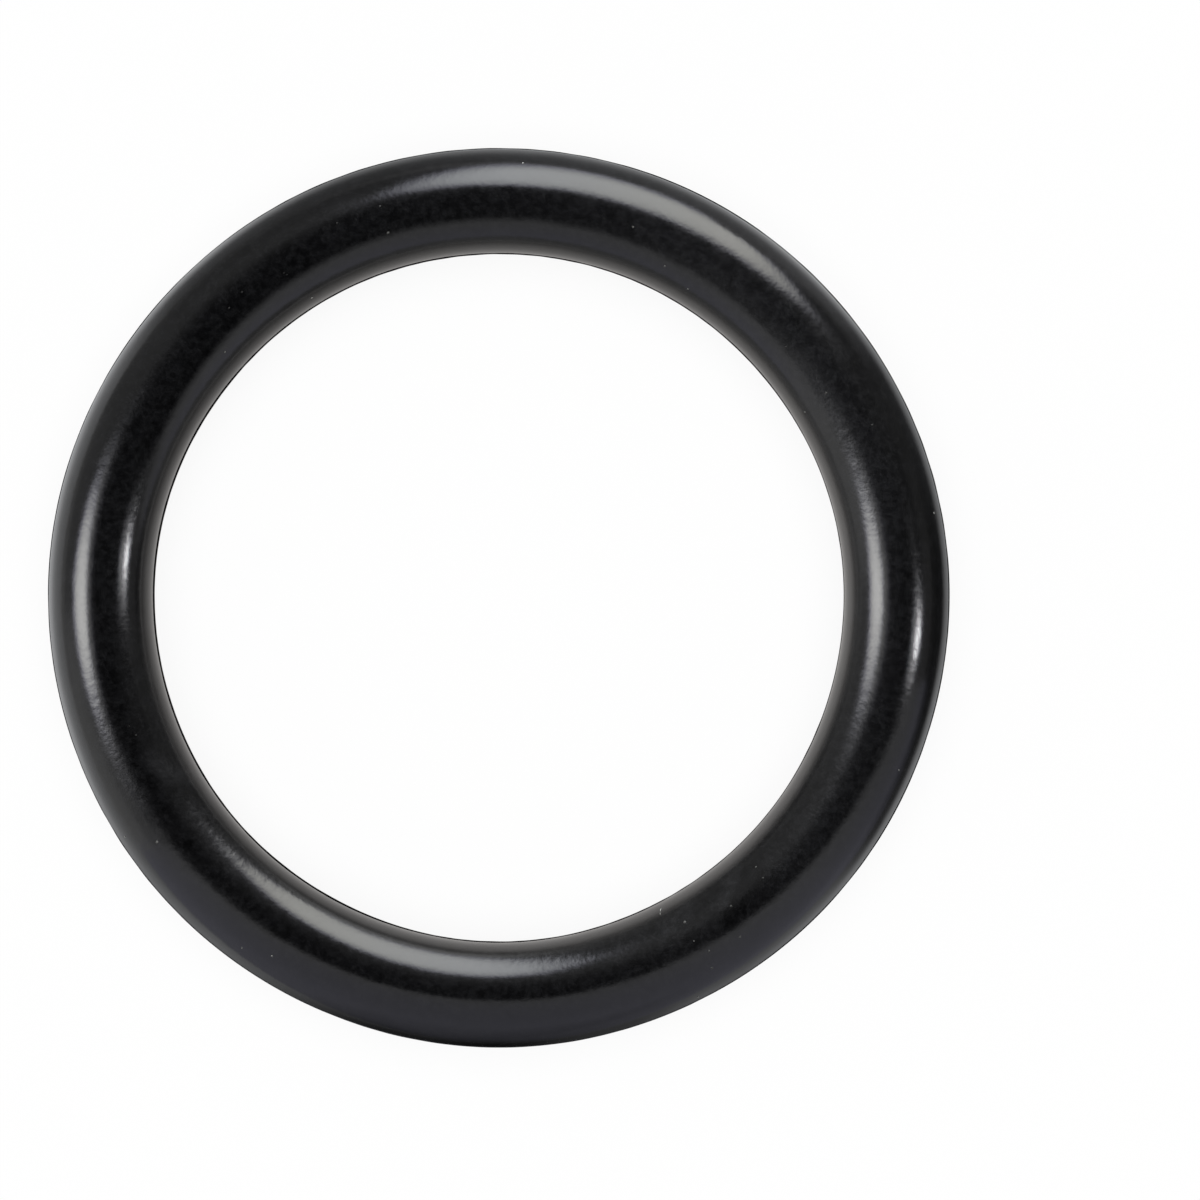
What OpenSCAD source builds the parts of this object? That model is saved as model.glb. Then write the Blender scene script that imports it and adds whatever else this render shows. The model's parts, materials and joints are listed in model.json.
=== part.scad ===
// Rubber O-ring: one closed ring of round cord, pressed in a two-part mould.
// It lies flat on its side, with the origin at its centre and +Z along its axis.
// The halves of the mould met at mid-height, so a trimmed parting ridge runs
// round the inside and the outside of the ring.

/* [Ring] */
// Inside diameter of the ring, clear of the ridge
hole_d = 33; // [12:0.5:90]
// Thickness of the round cord
cord_d = 5; // [2:0.1:9]

/* [Parting ridge] */
// How far the trimmed ridge stands out of the cord
ridge_h = 0.05; // [0.03:0.01:0.15]
// Thickness of the ridge at its trimmed edge
ridge_t = 0.12; // [0.06:0.01:0.3]
// Slope of the ridge's flanks, where the worn edges of the mould shaped them
flank_angle = 35; // [10:1:50]

/* [Hidden] */

// Facets of a full turn of the ring and of the cord
ring_fn = 256;
cord_fn = 96;

cord_r = cord_d / 2;
// From the ring's axis to the middle of the cord
centre_r = hole_d / 2 + cord_r;
// The ridge's flanks start inside the cord, as deep as the ridge is high
root_x = cord_r - ridge_h;
edge_x = cord_r + ridge_h;
edge_z = ridge_t / 2;
root_z = edge_z + (edge_x - root_x) * tan(flank_angle);

// Section of the outer ridge, from inside the cord to the trimmed edge
module ridge_section() {
    polygon([
        [root_x, -root_z],
        [edge_x, -edge_z],
        [edge_x, edge_z],
        [root_x, root_z]
    ]);
}

// Section through the cord, with its ridge on the outside and on the inside
module cord_section() {
    circle(r = cord_r, $fn = cord_fn);
    for (turn = [0, 180])
        rotate(turn)
            ridge_section();
}

module o_ring() {
    color([0.035, 0.035, 0.038])
        rotate_extrude($fn = ring_fn)
            translate([centre_r, 0])
                cord_section();
}

o_ring();
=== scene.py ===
# The looks of a rubber O-ring, which lies flat on a white table under soft studio light.
# Lengths are in millimetres, and `MM` turns them into metres where Blender needs them. Bearings run
# anticlockwise from +X as seen from above: in degrees in the lists, and in radians where a variable is
# called bearing.
import json
import math

import bpy
from mathutils import Matrix, Vector, noise


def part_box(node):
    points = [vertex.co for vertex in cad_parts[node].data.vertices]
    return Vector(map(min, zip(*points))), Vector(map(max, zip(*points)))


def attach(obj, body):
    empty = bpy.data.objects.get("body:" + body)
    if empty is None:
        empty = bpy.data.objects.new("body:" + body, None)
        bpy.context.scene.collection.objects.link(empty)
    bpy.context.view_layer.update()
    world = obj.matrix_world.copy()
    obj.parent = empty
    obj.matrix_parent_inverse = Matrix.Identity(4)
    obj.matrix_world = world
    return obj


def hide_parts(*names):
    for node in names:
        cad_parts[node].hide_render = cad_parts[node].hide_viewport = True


MM = 0.001

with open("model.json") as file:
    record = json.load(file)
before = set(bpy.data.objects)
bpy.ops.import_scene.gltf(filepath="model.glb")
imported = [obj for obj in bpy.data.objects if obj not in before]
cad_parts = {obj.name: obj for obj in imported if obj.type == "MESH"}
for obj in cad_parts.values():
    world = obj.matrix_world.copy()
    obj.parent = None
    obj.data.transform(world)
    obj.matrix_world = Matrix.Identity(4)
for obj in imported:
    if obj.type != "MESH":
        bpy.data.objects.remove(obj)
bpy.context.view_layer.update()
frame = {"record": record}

# The ring's sizes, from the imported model
ring_low, ring_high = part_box("o_ring")
seat_bore = next(mount["dims"] for mount in frame["record"]["mounts"] if mount["name"] == "seat_bore")
OUTSIDE_R = ring_high.x / MM
CORD_R = ring_high.z / MM
# From the ring's axis to the middle of the cord
CENTRE_R = (OUTSIDE_R + seat_bore["r_mm"]) / 2
RIDGE_H = OUTSIDE_R - CENTRE_R - CORD_R
RIDGE_T = seat_bore["length_mm"]

# The photograph's view: straight down, from a little right of the ring's axis
PHOTO_PX = 1200
FRAME_W = 57.35
PX = FRAME_W / PHOTO_PX
CAMERA_AT = Vector((4.829, -0.122, 200.0))
SENSOR_W = 36.0
CLIP_START = 10.0


def make_camera():
    data = bpy.data.cameras.new("camera")
    data.sensor_width = SENSOR_W
    data.lens = SENSOR_W * CAMERA_AT.z / FRAME_W
    data.clip_start = CLIP_START * MM
    camera = bpy.data.objects.new("camera", data)
    camera.location = CAMERA_AT * MM
    bpy.context.scene.collection.objects.link(camera)
    bpy.context.scene.camera = camera


# Helpers for numbers
def bell(distance, width):
    """Falls from 1 at no distance to 0 well beyond the width."""
    return math.exp(-((distance / width) ** 2))


def by_bearing(pairs, degrees):
    """The value at a bearing, eased between the pairs on either side of it. Pairs run from 0 to 360."""
    degrees = degrees % 360
    for (start, low), (end, high) in zip(pairs, pairs[1:]):
        if degrees <= end:
            share = (degrees - start) / (end - start)
            share = share * share * (3 - 2 * share)
            return low + (high - low) * share


# Helpers for nodes
def new_material(name):
    material = bpy.data.materials.new(name)
    material.use_nodes = True
    tree = material.node_tree
    return material, tree, tree.nodes["Principled BSDF"]


def math_node(tree, operation, first, second):
    node = tree.nodes.new("ShaderNodeMath")
    node.operation = operation
    for socket, value in zip(node.inputs, (first, second)):
        if isinstance(value, bpy.types.NodeSocket):
            tree.links.new(value, socket)
        else:
            socket.default_value = value
    return node.outputs[0]


def ramp_node(tree, value, start, end, low, high, smooth=True):
    """Maps value from start..end to low..high, and holds it there outside."""
    node = tree.nodes.new("ShaderNodeMapRange")
    node.interpolation_type = "SMOOTHSTEP" if smooth else "LINEAR"
    tree.links.new(value, node.inputs["Value"])
    for name, number in zip(("From Min", "From Max", "To Min", "To Max"), (start, end, low, high)):
        node.inputs[name].default_value = number
    return node.outputs["Result"]


def noise_node(tree, place, size, detail=2.0, roughness=0.5):
    """Noise with features of about the given size, from 0 to 1 and mostly between 0.3 and 0.7."""
    node = tree.nodes.new("ShaderNodeTexNoise")
    node.inputs["Scale"].default_value = 1 / (size * MM)
    node.inputs["Detail"].default_value = detail
    node.inputs["Roughness"].default_value = roughness
    tree.links.new(place, node.inputs["Vector"])
    return node.outputs["Fac"]


def mesh_value(tree, name):
    """A number that the mesh carries at its points."""
    node = tree.nodes.new("ShaderNodeAttribute")
    node.attribute_name = name
    return node.outputs["Fac"]


def set_mesh_value(mesh, name, values):
    mesh.attributes.new(name, "FLOAT", "POINT").data.foreach_set("value", values)


def mix_colour(tree, share, first, second):
    node = tree.nodes.new("ShaderNodeMix")
    node.data_type = "RGBA"
    tree.links.new(share, node.inputs["Factor"])
    for name, colour in (("A", first), ("B", second)):
        if isinstance(colour, bpy.types.NodeSocket):
            tree.links.new(colour, node.inputs[name])
        else:
            node.inputs[name].default_value = (*colour, 1)
    return node.outputs["Result"]


# Black rubber, satin from the polished mould, with the fine grain that its fillers leave. Where it was
# handled it is mottled, and a thin film of dust dulls it. First the sizes of the grain, the mottle, the
# paler clouds and the duller patches
GRAIN_SIZE = 0.14
MOTTLE_SIZE = 0.34
CLOUD_SIZE = 0.8
PATCH_SIZE = 2.5
DEEP_BLACK = (0.0008, 0.0008, 0.0010)
SOFT_BLACK = (0.0030, 0.0030, 0.0034)
FILM_COLOUR = (0.0118, 0.0119, 0.0128)
THICK_FILM = 0.6
# How strongly the film is mottled: where there is none, and where it is thick
FILM_MOTTLE = (0.15, 0.26)
# Roughness from one patch to the next, and what the grain and handling change in it
PATCH_ROUGHNESS = (0.135, 0.165)
GRAIN_ROUGHNESS = 0.035
WORN_ROUGHNESS = 0.05
RUBBER_IOR = 1.5
# Depth of the bumps. The mottle is shallow where nobody touched the ring, and deeper where it is worn
GRAIN_DEPTH = 0.0012
CLOUD_DEPTH = 0.005
MOTTLE_DEPTH = (0.003, 0.0095)


def rubber_material():
    material, tree, shader = new_material("rubber")
    place = tree.nodes.new("ShaderNodeTexCoord").outputs["Object"]
    grain = noise_node(tree, place, GRAIN_SIZE, detail=3.0, roughness=0.6)
    mottle = noise_node(tree, place, MOTTLE_SIZE, detail=2.0, roughness=0.6)
    patches = noise_node(tree, place, PATCH_SIZE, detail=2.0)
    cloud = noise_node(tree, place, CLOUD_SIZE, detail=3.0)
    film = mesh_value(tree, "film")
    worn = mesh_value(tree, "worn")

    black = mix_colour(tree, ramp_node(tree, cloud, 0.3, 0.75, 0, 1), DEEP_BLACK, SOFT_BLACK)
    speckle = ramp_node(tree, mottle, 0.39, 0.61, 0.0, 2.0, smooth=False)
    fleck = ramp_node(tree, grain, 0.35, 0.65, 0.5, 1.5, smooth=False)
    uneven = math_node(tree, "SUBTRACT", math_node(tree, "MULTIPLY", speckle, fleck), 1.0)
    strength = ramp_node(tree, film, 0, THICK_FILM, *FILM_MOTTLE, smooth=False)
    cover = math_node(tree, "ADD", film, math_node(tree, "MULTIPLY", uneven, strength))
    cover = math_node(tree, "MINIMUM", math_node(tree, "MAXIMUM", cover, 0.0), 1.0)
    colour = mix_colour(tree, cover, black, FILM_COLOUR)
    tree.links.new(colour, shader.inputs["Base Color"])

    fine = ramp_node(tree, grain, 0.25, 0.75, -GRAIN_ROUGHNESS, GRAIN_ROUGHNESS, smooth=False)
    broad = ramp_node(tree, patches, 0.3, 0.7, *PATCH_ROUGHNESS)
    dull = ramp_node(tree, worn, 0, 1, 0, WORN_ROUGHNESS, smooth=False)
    roughness = math_node(tree, "ADD", math_node(tree, "ADD", fine, broad), dull)
    tree.links.new(roughness, shader.inputs["Roughness"])
    shader.inputs["IOR"].default_value = RUBBER_IOR

    bump = tree.nodes.new("ShaderNodeBump")
    bump.inputs["Strength"].default_value = 1.0
    bump.inputs["Distance"].default_value = MM
    depth = ramp_node(tree, worn, 0, 1, *MOTTLE_DEPTH, smooth=False)
    height = math_node(tree, "MULTIPLY", mottle, depth)
    height = math_node(tree, "ADD", height, math_node(tree, "MULTIPLY", grain, GRAIN_DEPTH))
    height = math_node(tree, "ADD", height, math_node(tree, "MULTIPLY", cloud, CLOUD_DEPTH))
    tree.links.new(height, bump.inputs["Height"])
    tree.links.new(bump.outputs["Normal"], shader.inputs["Normal"])
    return material


# How the ring lies a little out of round: lobes, height and the bearing of a crest. All of it is lowered,
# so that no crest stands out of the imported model
LOBES = ((2, 0.022, 0), (3, 0.010, 43), (7, 0.011, 12.5))
LOBES_BELOW = 0.028
# How high the skin's gentle waves are, and how long
WAVE_H = 0.003
WAVE_L = 3.0


def out_of_round(bearing):
    """How far the cord's middle lies off its circle, at a bearing in radians."""
    swing = 0
    for count, height, crest in LOBES:
        swing += height * math.cos(count * (bearing - math.radians(crest)))
    return swing - LOBES_BELOW


# Finding places of the photograph on the ring
AIMING_STEPS = 8


def on_ground(pixel):
    """Where a place in the photograph lies at the cord's mid-height."""
    x = CAMERA_AT.x + (pixel[0] - PHOTO_PX / 2) * PX
    y = CAMERA_AT.y - (pixel[1] - PHOTO_PX / 2) * PX
    return Vector((x, y, 0))


def on_cord(pixel):
    """The point of the cord's skin that shows at a place in the photograph, and the way it faces."""
    ground = on_ground(pixel)
    point = ground
    cord_r = CORD_R - WAVE_H
    centre_r = CENTRE_R + out_of_round(math.atan2(ground.y, ground.x))
    for step in range(AIMING_STEPS):
        out = math.hypot(point.x, point.y) - centre_r
        height = math.sqrt(max(0.0, cord_r ** 2 - out ** 2))
        point = ground + (CAMERA_AT - ground) * (height / CAMERA_AT.z)
    middle = Vector((point.x, point.y, 0)).normalized() * centre_r
    return point, (point - middle).normalized()


# How much dust dulls the top of the cord, and how handled it is, by bearing
FILM = [
    (0, 0.5), (20, 0.7), (60, 0.65), (80, 0.35), (110, 0.28), (125, 0.16), (155, 0.2), (175, 0.3),
    (200, 0.12), (240, 0.15), (255, 0.25), (285, 0.25), (305, 0.45), (325, 0.55), (345, 0.55), (360, 0.5),
]
WORN = [
    (0, 0.25), (20, 0.9), (60, 0.9), (85, 0.35), (120, 0.3), (180, 0.2), (205, 0.8), (235, 0.6),
    (260, 0.3), (285, 0.6), (310, 0.9), (340, 0.4), (360, 0.25),
]
# Where both lie across the cord, from -1 at its inner side to 1 at its outer side: the middle of the film,
# its width and the width of the handled part. A narrow stripe by the inner side is handled too
FILM_AT = -0.16
FILM_W = 0.38
WORN_W = 0.75
STRIPE_WORN = 0.5
STRIPE_AT = -0.72
STRIPE_W = 0.1
UNDERSIDE_WORN = 0.3
# Rubbed and smeared places: start and end in the photograph, radius in pixels, added film, added wear
SMEARS = {
    "feathered_end_of_left_highlight": ((112, 742), (136, 798), 13, 0.1, 0.8),
    "smudge_below_it": ((153, 762), (184, 778), 9, 0.6, 0.4),
    "smudge_further_down": ((198, 815), (230, 868), 12, 0.25, 0.6),
    "rubbed_dark_patch": ((754, 876), (733, 916), 10, -0.8, 0.3),
    "smear_beside_it": ((738, 872), (722, 905), 6, 0.6, 0.2),
    "lower_smear": ((690, 905), (668, 925), 8, 0.35, 0.3),
    "upper_smear": ((800, 365), (828, 412), 12, 0.3, 0.5),
}


def near_segment(place, start, end, radius):
    """Falls from 1 on a segment to 0 away from it."""
    along = end - start
    share = max(0.0, min(1.0, (place - start).dot(along) / along.length_squared))
    return bell((place - start - along * share).length, radius)


def film_and_wear(point):
    """How much dust lies on a point of the skin, and how handled it is."""
    if point.z < 0:
        return 0.0, UNDERSIDE_WORN
    degrees = math.degrees(math.atan2(point.y, point.x))
    across = (math.hypot(point.x, point.y) - CENTRE_R) / CORD_R
    film = by_bearing(FILM, degrees) * bell(across - FILM_AT, FILM_W)
    worn = by_bearing(WORN, degrees) * math.exp(-((across / WORN_W) ** 4))
    worn += STRIPE_WORN * bell(across - STRIPE_AT, STRIPE_W)
    seen = point + (point - CAMERA_AT) * (point.z / (CAMERA_AT.z - point.z))
    for start, end, radius, more_film, more_wear in SMEARS.values():
        share = near_segment(seen, on_ground(start), on_ground(end), radius * PX)
        film += more_film * share
        worn += more_wear * share
    return max(0.0, film), worn


# The parting ridge is trimmed unevenly, in shares of its full height: the least, the mean outside and
# inside, and how much lower it is inside towards bearing 0. Then its broad and its fine unevenness, with
# the length of their features
RIDGE_LEAST = 0.3
RIDGE_OUTSIDE = 0.9
RIDGE_INSIDE = 0.65
RIDGE_INSIDE_TILT = 0.35
RIDGE_BROAD = 0.4
RIDGE_BROAD_L = 6.0
RIDGE_FINE = 0.22
RIDGE_FINE_L = 0.9
# Which layers of the noise the two kinds of unevenness are drawn from
BROAD_LAYER = 3.0
FINE_LAYER = 7.0


def ridge_noise(bearing, length, layer):
    x = CENTRE_R * math.cos(bearing)
    y = CENTRE_R * math.sin(bearing)
    return noise.noise(Vector((x / length, y / length, layer)))


def ridge_height(bearing, side):
    """How far the ridge stands out at this bearing. Side is 1 outside and -1 inside."""
    broad = ridge_noise(bearing, RIDGE_BROAD_L, BROAD_LAYER * side)
    fine = ridge_noise(bearing, RIDGE_FINE_L, FINE_LAYER * side)
    mean = RIDGE_OUTSIDE if side > 0 else RIDGE_INSIDE - RIDGE_INSIDE_TILT * math.cos(bearing)
    share = mean + RIDGE_BROAD * broad + RIDGE_FINE * fine
    return RIDGE_H * min(1.0, max(RIDGE_LEAST, share))


# The inner wall is flattened a little, as by a shaft: by bearing, how much; then where up the wall and over
# how many degrees of the cord's section, and how deep
FLAT = [
    (0, 0.3), (20, 0.1), (60, 0.0), (220, 0.0), (240, 1.0), (272, 1.0), (290, 0.2), (340, 0.2), (360, 0.3),
]
FLAT_AT = 43.0
FLAT_W = 9.0
FLAT_H = 0.0226


def flattening(bearing, angle):
    """How far the inner wall falls short of round at this bearing and angle up from its middle."""
    x = (math.degrees(angle) - FLAT_AT) / FLAT_W
    return by_bearing(FLAT, math.degrees(bearing)) * FLAT_H * x * math.exp(-x * x / 2)


# The skin: a closed ring of cord with the worn parting ridge inside and outside
STEPS_ROUND = 1152
STEPS_OVER = 37
FLANK_SLOPE = math.tan(math.radians(4))
SHARP_EDGE = math.radians(40)
# Small dents: place in the photograph, radius and depth
DENTS = {
    "pit_in_top_highlight": ((600, 190), 0.11, 0.010),
    "nick_at_lower_right": ((695, 942), 0.10, 0.008),
    "nick_in_left_highlight": ((96, 700), 0.12, 0.006),
    "mark_in_bottom_highlight": ((473, 962), 0.10, 0.006),
    "second_mark_in_bottom_highlight": ((443, 955), 0.10, 0.005),
}
# In radii, how far a dent reaches
DENT_REACH = 3


def skin_radius(bearing, side, angle):
    """The cord's radius at an angle round its section, with its waves and its flattened inner wall."""
    swell = WAVE_H * noise.noise(Vector((
        CENTRE_R * math.cos(bearing) / WAVE_L,
        CENTRE_R * math.sin(bearing) / WAVE_L,
        side * CORD_R * math.sin(angle) / WAVE_L + math.cos(angle),
    )))
    radius = CORD_R - WAVE_H + swell
    if side > 0:
        radius -= flattening(bearing, math.pi - angle)
    return radius


def section(bearing):
    """Points of the cord's section at one bearing, as distance out from the cord's middle and height.

    Side 1 is the outer ridge and the skin over the top, and side -1 the inner ridge and the underside."""
    points = []
    edge = RIDGE_T / 2
    for side in (1, -1):
        height = ridge_height(bearing, side)
        foot_angle = math.asin((edge + FLANK_SLOPE * height) / CORD_R)
        points.append((side * (CORD_R + height), -edge * side))
        points.append((side * (CORD_R + height), edge * side))
        for step in range(STEPS_OVER + 1):
            angle = foot_angle + (math.pi - 2 * foot_angle) * step / STEPS_OVER
            radius = skin_radius(bearing, side, angle)
            points.append((side * radius * math.cos(angle), side * radius * math.sin(angle)))
    return points


def press_dents(vertices):
    for pixel, radius, depth in DENTS.values():
        place, facing = on_cord(pixel)
        for vertex in vertices:
            distance = (vertex - place).length
            if distance < DENT_REACH * radius:
                vertex -= facing * depth * bell(distance, radius)


def make_skin():
    vertices = []
    for step in range(STEPS_ROUND):
        bearing = 2 * math.pi * step / STEPS_ROUND
        for out, up in section(bearing):
            radius = CENTRE_R + out_of_round(bearing) + out
            vertices.append(Vector((radius * math.cos(bearing), radius * math.sin(bearing), up)))
    press_dents(vertices)
    count = len(vertices) // STEPS_ROUND
    faces = []
    for step in range(STEPS_ROUND):
        here = step * count
        there = (step + 1) % STEPS_ROUND * count
        for point in range(count):
            after = (point + 1) % count
            faces.append((here + point, there + point, there + after, here + after))
    mesh = bpy.data.meshes.new("rubber_ring")
    mesh.from_pydata([vertex * MM for vertex in vertices], [], faces)
    touched = [film_and_wear(vertex) for vertex in vertices]
    set_mesh_value(mesh, "film", [film for film, worn in touched])
    set_mesh_value(mesh, "worn", [worn for film, worn in touched])
    mesh.shade_smooth()
    mesh.set_sharp_from_angle(angle=SHARP_EDGE)
    mesh.materials.append(rubber_material())
    mesh.update()
    ring = bpy.data.objects.new("rubber_ring", mesh)
    bpy.context.scene.collection.objects.link(ring)
    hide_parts("o_ring")
    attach(ring, "root")
    return ring


# Grains of dust on the rubber: place in the photograph, radius in pixels and paleness
GRAINS = {
    "upper_left_largest": ((388, 233), 1.35, 0.07),
    "upper_left_above_it": ((380, 206), 0.95, 0.055),
    "upper_left_on_inner_band": ((312, 298), 1.2, 0.26),
    "upper_left_low": ((229, 308), 0.95, 0.03),
    "upper_left_middle": ((284, 273), 0.9, 0.014),
    "upper_left_middle_below": ((287, 275), 0.8, 0.014),
    "upper_left_lower_middle": ((242, 292), 0.95, 0.025),
    "left_of_inner_band": ((225, 352), 1.1, 0.11),
    "upper_left_faint": ((337, 223), 0.9, 0.03),
    "top_middle": ((523, 163), 0.9, 0.25),
    "upper_right_outer": ((633, 227), 0.9, 0.09),
    "upper_right_inner": ((665, 266), 1.0, 0.12),
    "upper_right_inner_low": ((688, 289), 0.9, 0.17),
    "right_by_inner_highlight": ((934, 513), 1.1, 0.35),
    "lower_right_high": ((899, 770), 1.0, 0.15),
    "lower_left_inner": ((157, 842), 1.3, 0.13),
    "lower_left_outer": ((125, 837), 1.1, 0.24),
    "lower_left_dark_stripe": ((129, 726), 0.9, 0.014),
    "lower_left_dark_stripe_low": ((136, 735), 0.95, 0.025),
    "bottom_left": ((272, 956), 1.0, 0.17),
    "bottom_left_outer": ((242, 948), 0.9, 0.15),
    "bottom_right_inner": ((685, 922), 1.4, 0.1),
    "bottom_right_middle": ((694, 941), 0.8, 0.08),
    "bottom_right_outer": ((698, 997), 0.9, 0.2),
    "bottom_right_band": ((712, 968), 1.2, 0.08),
    "bottom_right_band_high": ((709, 951), 1.0, 0.08),
    "right_of_smear": ((731, 906), 1.3, 0.05),
    "right_of_rubbed_patch": ((763, 878), 1.1, 0.04),
    "right_of_rubbed_patch_high": ((756, 867), 1.0, 0.08),
    "band_below_smear": ((740, 937), 1.2, 0.07),
    "right_fleck": ((786, 347), 1.0, 0.03),
    "right_fleck_low": ((826, 393), 1.2, 0.06),
    "right_fleck_inner": ((805, 412), 1.1, 0.12),
    "right_fleck_middle": ((872, 425), 1.0, 0.04),
}
# Short streaks of dust: start and end in the photograph, radius in pixels and paleness
STREAKS = {
    "streak_at_inner_edge": ((661, 908), (660, 915), 0.8, 0.30),
}
GRAIN_SIDES = 8
GRAIN_RINGS = 5
# A grain starts and ends at one place, and this short core gives it a direction
GRAIN_CORE = PX / 4
# How uneven a grain is, and how thick for its width
GRAIN_SWELL = 0.35
GRAIN_FLATNESS = 0.45
# Steps through the noise: round a grain, along it, and from one grain to the next
SWELL_ROUND = 3.1
SWELL_ALONG = 2.3
SWELL_NEXT = 1.7
# How far every grain stays below the cord's top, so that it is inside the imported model
BELOW_TOP = 0.001
DUST_TINT = (1.0, 1.0, 0.95)
DUST_MOTTLE_SIZE = 0.04


def grain_mesh(start, end, radius, layer):
    """A closed flake from start to end, half sunk in the skin, as vertices and faces."""
    first, facing = on_cord(start)
    last = on_cord(end)[0]
    along = last - first
    if along.length < GRAIN_CORE:
        along = facing.orthogonal().normalized() * GRAIN_CORE
    side = facing.cross(along).normalized()
    middle = (first + last) / 2
    long = along / 2 + along.normalized() * radius * PX
    vertices = []
    for ring in range(GRAIN_RINGS + 1):
        turn = math.pi * ring / GRAIN_RINGS
        count = GRAIN_SIDES if 0 < ring < GRAIN_RINGS else 1
        for step in range(count):
            angle = 2 * math.pi * step / GRAIN_SIDES
            swell = 1 + GRAIN_SWELL * noise.noise(Vector((SWELL_ROUND * step, SWELL_ALONG * ring, layer)))
            across = math.sin(turn) * radius * PX * swell
            place = middle + long * math.cos(turn) * swell
            place += side * across * math.cos(angle) + facing * GRAIN_FLATNESS * across * math.sin(angle)
            place.z = min(place.z, CORD_R - BELOW_TOP)
            vertices.append(place)
    last_row = 1 + (GRAIN_RINGS - 2) * GRAIN_SIDES
    far_end = len(vertices) - 1
    faces = []
    for step in range(GRAIN_SIDES):
        after = (step + 1) % GRAIN_SIDES
        faces.append((0, 1 + after, 1 + step))
        for ring in range(GRAIN_RINGS - 2):
            here = 1 + ring * GRAIN_SIDES
            there = here + GRAIN_SIDES
            faces.append((here + step, here + after, there + after, there + step))
        faces.append((last_row + step, last_row + after, far_end))
    return vertices, faces


def dust_material():
    material, tree, shader = new_material("dust")
    place = tree.nodes.new("ShaderNodeTexCoord").outputs["Object"]
    mottle = ramp_node(tree, noise_node(tree, place, DUST_MOTTLE_SIZE), 0.3, 0.7, 0.75, 1.25)
    shade = math_node(tree, "MULTIPLY", mesh_value(tree, "pale"), mottle)
    colour = tree.nodes.new("ShaderNodeCombineColor")
    for socket, share in zip(colour.inputs, DUST_TINT):
        tree.links.new(math_node(tree, "MULTIPLY", shade, share), socket)
    tree.links.new(colour.outputs[0], shader.inputs["Base Color"])
    shader.inputs["Roughness"].default_value = 0.8
    shader.inputs["Specular IOR Level"].default_value = 0.1
    return material


def make_dust():
    vertices, faces, pale = [], [], []
    marks = [(place, place, radius, light) for place, radius, light in GRAINS.values()]
    marks += STREAKS.values()
    for number, (start, end, radius, light) in enumerate(marks):
        points, sides = grain_mesh(start, end, radius, SWELL_NEXT * number)
        faces += [tuple(index + len(vertices) for index in side) for side in sides]
        vertices += points
        pale += [light] * len(points)
    mesh = bpy.data.meshes.new("dust")
    mesh.from_pydata([vertex * MM for vertex in vertices], [], faces)
    set_mesh_value(mesh, "pale", pale)
    mesh.shade_smooth()
    mesh.materials.append(dust_material())
    mesh.update()
    dust = bpy.data.objects.new("dust", mesh)
    bpy.context.scene.collection.objects.link(dust)
    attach(dust, "root")
    return dust


# The table. Seen directly or in a reflection it is mostly plain white, and the rest of it takes the ring's
# shadow
FLOOR_HALF = 1500.0
FLOOR_ALBEDO = 0.9
FLOOR_WHITE_SHARE = 0.9


def make_floor():
    half = FLOOR_HALF * MM
    z = -CORD_R * MM
    corners = [(-half, -half, z), (half, -half, z), (half, half, z), (-half, half, z)]
    mesh = bpy.data.meshes.new("floor")
    mesh.from_pydata(corners, [], [(0, 1, 2, 3)])
    material, tree, shader = new_material("floor")
    shader.inputs["Base Color"].default_value = (FLOOR_ALBEDO, FLOOR_ALBEDO, FLOOR_ALBEDO, 1)
    shader.inputs["Roughness"].default_value = 0.9
    shader.inputs["Specular IOR Level"].default_value = 0.0
    white = tree.nodes.new("ShaderNodeEmission")
    white.inputs["Color"].default_value = (1, 1, 1, 1)
    ray = tree.nodes.new("ShaderNodeLightPath").outputs
    seen = math_node(tree, "MAXIMUM", ray["Is Camera Ray"], ray["Is Glossy Ray"])
    seen = math_node(tree, "MAXIMUM", seen, ray["Is Transmission Ray"])
    mix = tree.nodes.new("ShaderNodeMixShader")
    tree.links.new(math_node(tree, "MULTIPLY", seen, FLOOR_WHITE_SHARE), mix.inputs[0])
    tree.links.new(shader.outputs[0], mix.inputs[1])
    tree.links.new(white.outputs[0], mix.inputs[2])
    tree.links.new(mix.outputs[0], tree.nodes["Material Output"].inputs["Surface"])
    mesh.materials.append(material)
    floor = bpy.data.objects.new("floor", mesh)
    bpy.context.scene.collection.objects.link(floor)
    return floor


# The lamps: soft panels round the ring, whose reflections draw its highlights, and a broad light overhead
# for the table
WHITE = (1, 1, 1)
WARM_WHITE = (1, 1, 0.98)
# Where along a panel the colour of its clockwise end turns into that of the other
TURNING = (0.3, 0.9)
# The panels are bluer where they fade, between these shares of their strength
FADED = (0.94, 0.95, 1.2)
FADING = (0.05, 0.8)
# Up to what share of its height a flaring panel is narrower
FLARE_TOP = 0.6
OVERHEAD_STRENGTH = 2.8
OVERHEAD_SPREAD = math.radians(70)


def light_only(lamp, things):
    group = bpy.data.collections.new(lamp.name + "_lights")
    for thing in things:
        group.objects.link(thing)
    lamp.light_linking.receiver_collection = group


def fading(tree, place, extent, power, stretch):
    """Grows from 0 at a panel's brightest place to 1 at its start and its end, or sooner if stretched."""
    start, peak, end = extent
    middle = (peak - start) / (end - start)
    below = ramp_node(tree, place, 0, middle, 1, 0, smooth=False)
    above = ramp_node(tree, place, middle, 1, 0, 1, smooth=False)
    away = math_node(tree, "MULTIPLY", math_node(tree, "MAXIMUM", below, above), stretch)
    return math_node(tree, "POWER", away, power)


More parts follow.
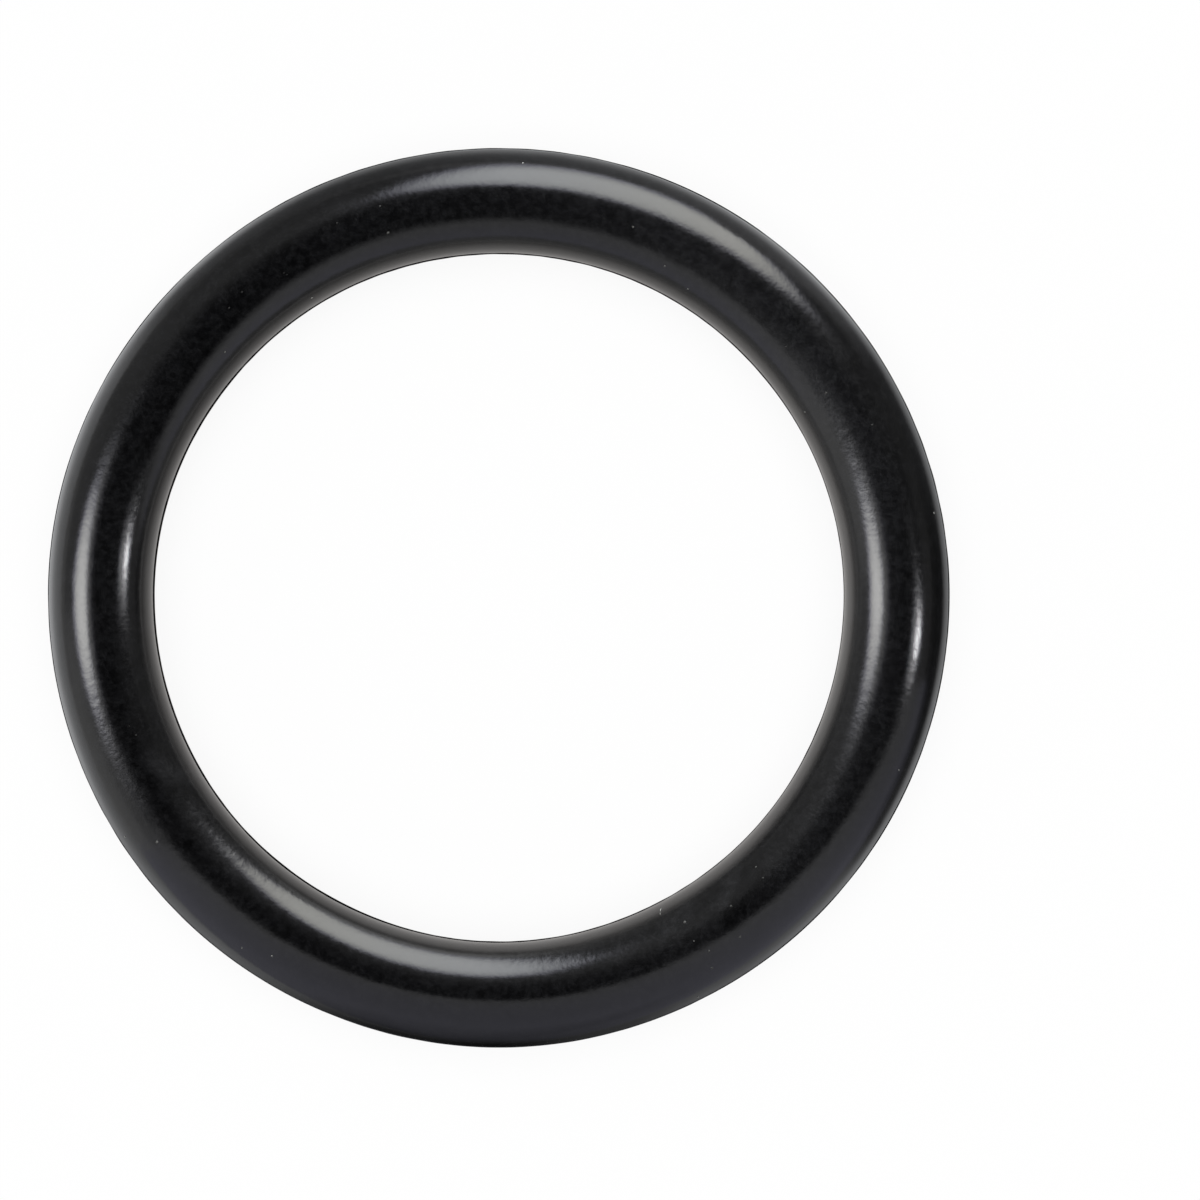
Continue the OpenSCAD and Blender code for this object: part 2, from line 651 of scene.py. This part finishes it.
def panel(
    name, degrees, distance, across, upright, radiance, colours=(WHITE, WHITE), powers=(2, 2), soft=1.0,
    flare=0.0,
):
    """An upright soft panel that faces the ring's axis.

    across and upright give its start, its brightest place and its end: across runs anticlockwise as seen
    from above. colours are those of its clockwise and its anticlockwise end. powers square its outline up,
    soft is the share of it over which it fades, and flare says how much narrower its foot is."""
    bearing = math.radians(degrees)
    back = Vector((math.cos(bearing), math.sin(bearing), 0))
    right = Vector((-math.sin(bearing), math.cos(bearing), 0))
    up = Vector((0, 0, 1))
    centre = back * distance + right * (across[0] + across[2]) / 2 + up * (upright[0] + upright[2]) / 2
    data = bpy.data.lights.new(name, "AREA")
    data.shape = "RECTANGLE"
    data.size = (across[2] - across[0]) * MM
    data.size_y = (upright[2] - upright[0]) * MM
    data.energy = radiance * math.pi * data.size * data.size_y
    data.use_nodes = True
    tree = data.node_tree
    emission = tree.nodes["Emission"]
    part = tree.nodes.new("ShaderNodeSeparateXYZ")
    tree.links.new(tree.nodes.new("ShaderNodeNewGeometry").outputs["Parametric"], part.inputs[0])
    along, upward = part.outputs[0], part.outputs[1]
    narrower = ramp_node(tree, upward, 0, FLARE_TOP, 1 + flare, 1)
    spread = math_node(
        tree, "ADD",
        fading(tree, along, across, powers[0], narrower),
        fading(tree, upward, upright, powers[1], 1.0),
    )
    strength = ramp_node(tree, spread, 1 - soft, 1, 1, 0)
    tree.links.new(strength, emission.inputs["Strength"])
    tint = mix_colour(tree, ramp_node(tree, along, *TURNING, 0, 1), *colours)
    tint = mix_colour(tree, ramp_node(tree, strength, *FADING, 0, 1), FADED, tint)
    tree.links.new(tint, emission.inputs["Color"])
    lamp = bpy.data.objects.new(name, data)
    turn = Matrix((right, up, back)).transposed()
    lamp.matrix_world = Matrix.Translation(centre * MM) @ turn.to_4x4()
    lamp.visible_camera = False
    bpy.context.scene.collection.objects.link(lamp)
    return lamp


def make_lamps(ring, dust, floor):
    panels = [
        panel(
            "window", 90, 70, (-80, -18, 26), (0, 32, 105), 6.8, ((0.98, 0.98, 0.93), (0.93, 0.96, 1)),
            powers=(4, 2), flare=0.45,
        ),
        panel(
            "left_lamp", 180, 120, (-40, 1, 42), (54, 124, 244), 9.8, (WARM_WHITE, WARM_WHITE),
            powers=(1.7, 2),
        ),
        panel(
            "left_glow", 180, 140, (-66, 5, 66), (90, 230, 560), 1.7, (WARM_WHITE, WARM_WHITE),
            powers=(2, 1),
        ),
        panel("right_lamp", 0, 105, (-12.3, -10.7, -9.1), (57, 77, 101), 105),
        panel("right_glow", 0, 130, (-28, -13, 3), (60, 114, 186), 4.6),
        panel("left_fill", 208, 120, (-65, 0, 65), (0, 50, 140), 0.42, powers=(4, 4), soft=0.8),
    ]
    for lamp in panels:
        light_only(lamp, [ring, dust])
    data = bpy.data.lights.new("overhead", "SUN")
    data.energy = OVERHEAD_STRENGTH
    data.angle = OVERHEAD_SPREAD
    overhead = bpy.data.objects.new("overhead", data)
    bpy.context.scene.collection.objects.link(overhead)
    light_only(overhead, [floor])


# What the ring mirrors low down: glowing cards that only glossy rays meet, so they show in the ring alone,
# as painted reflections. These lists say how light they are by bearing: the table close by and further
# off, the table inside the ring, and a low fence far away. Where the table lists dip low, as round 270 and
# round 0, they hold painted shadows: the ring's own shadows on the table, as the ring mirrors them
TABLE_NEAR = [
    (0, 0.58), (30, 0.6), (45, 0.98), (75, 0.62), (110, 0.48), (135, 1.05), (165, 1.25), (195, 1.27),
    (225, 0.6), (255, 0.05), (270, 0.02), (285, 0.14), (300, 0.47), (315, 0.7), (330, 0.72),
    (345, 0.72), (360, 0.58),
]
TABLE_FAR = [
    (0, 0.06), (30, 0.18), (45, 0.62), (75, 0.5), (110, 0.3), (135, 0.5), (150, 1.12), (165, 1.15),
    (195, 1.25), (225, 0.9), (255, 0.3), (270, 0.2), (285, 0.3), (300, 0.65), (315, 0.8), (330, 0.2),
    (345, 0.08), (360, 0.06),
]
INSIDE = [
    (0, 1.08), (45, 0.93), (90, 0.88), (135, 0.84), (180, 1.0), (225, 1.0), (270, 1.03), (315, 1.0),
    (360, 1.08),
]
FENCE = [
    (0, 0.09), (30, 0.2), (60, 0.6), (90, 0.6), (110, 0.35), (150, 0.4), (180, 0.75), (210, 1.0),
    (230, 0.8), (250, 0.7), (300, 0.7), (330, 0.45), (350, 0.12), (360, 0.09),
]
# What the inner wall mirrors across the hole, by the wall's own bearing: the upper and the lower part of
# the far side. From 243 to 272 both are bright: a painted highlight, which carries the window's
# reflection further down the inner wall there
FAR_SIDE_HIGH = [
    (0, 0.5), (95, 0.45), (120, 0.35), (155, 0.45), (180, 0.05), (195, 0.3), (212, 0.12), (232, 0.2),
    (243, 1.6), (272, 1.6), (284, 0.5), (300, 0.3), (330, 0.2), (360, 0.5),
]
FAR_SIDE_LOW = [
    (0, 1.0), (60, 0.45), (95, 0.45), (120, 0.15), (150, 0.3), (180, 0.12), (195, 0.3), (230, 0.06),
    (243, 1.2), (272, 1.2), (290, 0.4), (330, 0.2), (345, 0.5), (360, 1.0),
]
# A card in front of the ring, from left to right: where it stands, how high it is and how light it is at
# its foot, at its knee, and from its wall up to its top, above which it fades. Its foot and knee are dark
# near x 0 and x 40: painted shadows, the ring's shadows on the table as the ring mirrors them
FRONT_CARD = [
    # x, y, top, foot, knee, wall
    (-44, -31, 52, 0.75, 0.85, 0.87),
    (-27, -25, 42, 0.65, 0.8, 0.88),
    (-15, -25.7, 36, 0.4, 0.6, 0.76),
    (-8, -25.8, 35, 0.1, 0.32, 0.7),
    (0, -26, 34, 0.04, 0.24, 0.68),
    (15, -26.7, 33, 0.6, 0.65, 0.75),
    (28, -25, 31, 0.75, 0.9, 0.8),
    (34, -19, 26, 0.35, 0.4, 0.7),
    (40, -8, 12, 0.1, 0.12, 0.62),
]
KNEE_Z = 0
WALL_Z = 4
FADED_TOP = 1.7
FADED_TOP_LIGHT = 0.04
# The same light at every bearing
EVEN = [(0, 1.0), (360, 1.0)]
INSIDE_TINT = (1, 0.97, 0.95)
TABLE_TINT = (0.97, 0.98, 1.0)
FRONT_TINT = (0.95, 0.95, 1.12)
FRONT_TOP_TINT = (1, 1, 1.02)
# The cards on the table lie a little above it, and begin under the cord, this far from its middle
CARD_Z = -CORD_R + 0.02
UNDER_CORD = 0.6 * CORD_R
# How far apart a card's points are round the ring, in degrees
CARD_STEP = 3
# How much of its light the table outside has close by the cord, and how much of that right under it:
# painted shade, where the cord shades the table
OUTER_FOOT = 0.58
OUTER_FOOT_SWING = 0.25
UNDER_SHARE = 0.67
# The fence's distance, and the heights at which it starts to be lit as listed and ends
FENCE_R = 80
FENCE_H = (2, 11)


def card_surface(tree, colour, last_colour, one_sided):
    emission = tree.nodes.new("ShaderNodeEmission")
    tree.links.new(mesh_value(tree, "light"), emission.inputs["Strength"])
    if last_colour:
        tint = mix_colour(tree, mesh_value(tree, "last"), colour, last_colour)
        tree.links.new(tint, emission.inputs["Color"])
    else:
        emission.inputs["Color"].default_value = (*colour, 1)
    if not one_sided:
        return emission.outputs[0]
    mix = tree.nodes.new("ShaderNodeMixShader")
    tree.links.new(tree.nodes.new("ShaderNodeNewGeometry").outputs["Backfacing"], mix.inputs[0])
    tree.links.new(emission.outputs[0], mix.inputs[1])
    tree.links.new(tree.nodes.new("ShaderNodeBsdfTransparent").outputs[0], mix.inputs[2])
    return mix.outputs[0]


def mirror_card(name, rows, colour, last_colour=None, one_sided=False):
    """A card from rows of ((x, y, z), light) points. Only glossy rays meet it.

    Its colour turns into last_colour at its last two rows. A one-sided card is clear from behind."""
    count = len(rows[0])
    faces = []
    for row in range(len(rows) - 1):
        for step in range(count - 1):
            here = row * count + step
            faces.append((here, here + 1, here + count + 1, here + count))
    mesh = bpy.data.meshes.new(name)
    mesh.from_pydata([Vector(place) * MM for row in rows for place, light in row], [], faces)
    set_mesh_value(mesh, "light", [light for row in rows for place, light in row])
    if last_colour:
        set_mesh_value(mesh, "last", [0.0] * (len(rows) - 2) * count + [1.0] * 2 * count)
    material = bpy.data.materials.new(name)
    material.use_nodes = True
    tree = material.node_tree
    tree.nodes.clear()
    surface = card_surface(tree, colour, last_colour, one_sided)
    tree.links.new(surface, tree.nodes.new("ShaderNodeOutputMaterial").inputs["Surface"])
    mesh.materials.append(material)
    card = bpy.data.objects.new(name, mesh)
    bpy.context.scene.collection.objects.link(card)
    card.visible_camera = False
    card.visible_diffuse = False
    card.visible_transmission = False
    card.visible_volume_scatter = False
    card.visible_shadow = False


def ring_row(radius, z, pairs, share=1.0, swing=0.0, towards=0, turned=0):
    """A row of a card's points round the ring's axis, as light as pairs say by bearing.

    share scales that light, and swing adds to the share on the side towards a bearing. turned is how far
    on the pairs are read, in degrees."""
    row = []
    for degrees in range(0, 361, CARD_STEP):
        bearing = math.radians(degrees)
        light = by_bearing(pairs, degrees + turned)
        light *= share + swing * math.cos(math.radians(degrees - towards))
        row.append(((radius * math.cos(bearing), radius * math.sin(bearing), z), light))
    return row


def make_inside_card():
    # Its rows close by and under the cord are dimmer: painted shade, where the cord shades the table inside
    # it
    mirror_card("inside_card", [
        ring_row(CENTRE_R - UNDER_CORD, CARD_Z, INSIDE, share=0.65, swing=-0.2),
        ring_row(15.8, CARD_Z, INSIDE, share=0.825, swing=-0.1),
        ring_row(14.2, CARD_Z, INSIDE),
        ring_row(11, CARD_Z, INSIDE, swing=0.2, towards=-10),
        ring_row(6, CARD_Z, EVEN, share=0.6, swing=0.2, towards=-10),
        ring_row(1, CARD_Z, EVEN, share=0.42),
    ], INSIDE_TINT)


def make_table_card():
    start_r = CENTRE_R + UNDER_CORD
    foot, swing = OUTER_FOOT, OUTER_FOOT_SWING
    mirror_card("table_card", [
        # The first two rows are dimmer: painted shade close by and under the cord
        ring_row(start_r, CARD_Z, TABLE_NEAR, UNDER_SHARE * foot, UNDER_SHARE * swing, towards=75),
        ring_row(start_r + 2, CARD_Z, TABLE_NEAR, foot, swing, towards=75),
        ring_row(start_r + 4.2, CARD_Z, TABLE_NEAR),
        ring_row(start_r + 8, CARD_Z, TABLE_FAR),
        ring_row(FENCE_R, CARD_Z, TABLE_FAR),
    ], TABLE_TINT)


def make_far_side_card():
    """A cone in the hole. Its lists go by the wall that mirrors it, which is across the axis from it."""
    mirror_card("far_side_card", [
        ring_row(CENTRE_R - CORD_R - 0.3, CORD_R - 0.2, FAR_SIDE_HIGH, turned=180),
        ring_row(12, 0.33, FAR_SIDE_HIGH, turned=180),
        ring_row(6, CARD_Z, FAR_SIDE_LOW, turned=180),
    ], WHITE, one_sided=True)


def make_fence_card():
    low, high = FENCE_H
    mirror_card("fence_card", [
        ring_row(FENCE_R, CARD_Z, TABLE_FAR),
        ring_row(FENCE_R, low, FENCE),
        ring_row(FENCE_R, high, FENCE),
    ], WHITE)


def make_front_card():
    mirror_card("front_card", [
        [((x, y, CARD_Z), foot) for x, y, top, foot, knee, wall in FRONT_CARD],
        [((x, y, KNEE_Z), knee) for x, y, top, foot, knee, wall in FRONT_CARD],
        [((x, y, WALL_Z), wall) for x, y, top, foot, knee, wall in FRONT_CARD],
        [((x, y, top), wall) for x, y, top, foot, knee, wall in FRONT_CARD],
        [((x, y, FADED_TOP * top), FADED_TOP_LIGHT) for x, y, top, foot, knee, wall in FRONT_CARD],
    ], FRONT_TINT, last_colour=FRONT_TOP_TINT)


# The room, by the sine of the height above the horizon: pale near it, dim above and dark overhead. Walls
# and ceiling are given as their light, and what it gains eastward and northward
WALLS = (0.37, -0.13, -0.18)
CEILING = (0.17, -0.17, 0.2)
WALL_TOP = (0.42, 0.62)
DARK_ABOVE = (0.75, 1.0)
DARK_SHARE = 0.12
HORIZON_TOP = (0.09, 0.12)
HORIZON_LIGHT = 0.9


def make_world():
    world = bpy.data.worlds.new("room")
    world.use_nodes = True
    tree = world.node_tree
    background = tree.nodes["Background"]
    background.inputs["Color"].default_value = (1, 1, 1, 1)
    part = tree.nodes.new("ShaderNodeSeparateXYZ")
    tree.links.new(tree.nodes.new("ShaderNodeTexCoord").outputs["Generated"], part.inputs[0])
    east, north, height = part.outputs

    def slanted(base, eastward, northward):
        light = math_node(tree, "ADD", math_node(tree, "MULTIPLY", east, eastward), base)
        return math_node(tree, "ADD", math_node(tree, "MULTIPLY", north, northward), light)

    walls = math_node(tree, "MULTIPLY", slanted(*WALLS), ramp_node(tree, height, *WALL_TOP, 1, 0))
    ceiling = math_node(tree, "MAXIMUM", slanted(*CEILING), 0.0)
    ceiling = math_node(tree, "MULTIPLY", ceiling, ramp_node(tree, height, *WALL_TOP, 0, 1))
    ceiling = math_node(tree, "MULTIPLY", ceiling, ramp_node(tree, height, *DARK_ABOVE, 1, DARK_SHARE))
    horizon = ramp_node(tree, height, *HORIZON_TOP, HORIZON_LIGHT, 0)
    light = math_node(tree, "MAXIMUM", horizon, math_node(tree, "ADD", walls, ceiling))
    tree.links.new(light, background.inputs["Strength"])
    bpy.context.scene.world = world


make_camera()
ring = make_skin()
dust = make_dust()
floor = make_floor()
make_lamps(ring, dust, floor)
make_inside_card()
make_table_card()
make_far_side_card()
make_fence_card()
make_front_card()
make_world()

bpy.context.scene.view_settings.view_transform = "Standard"
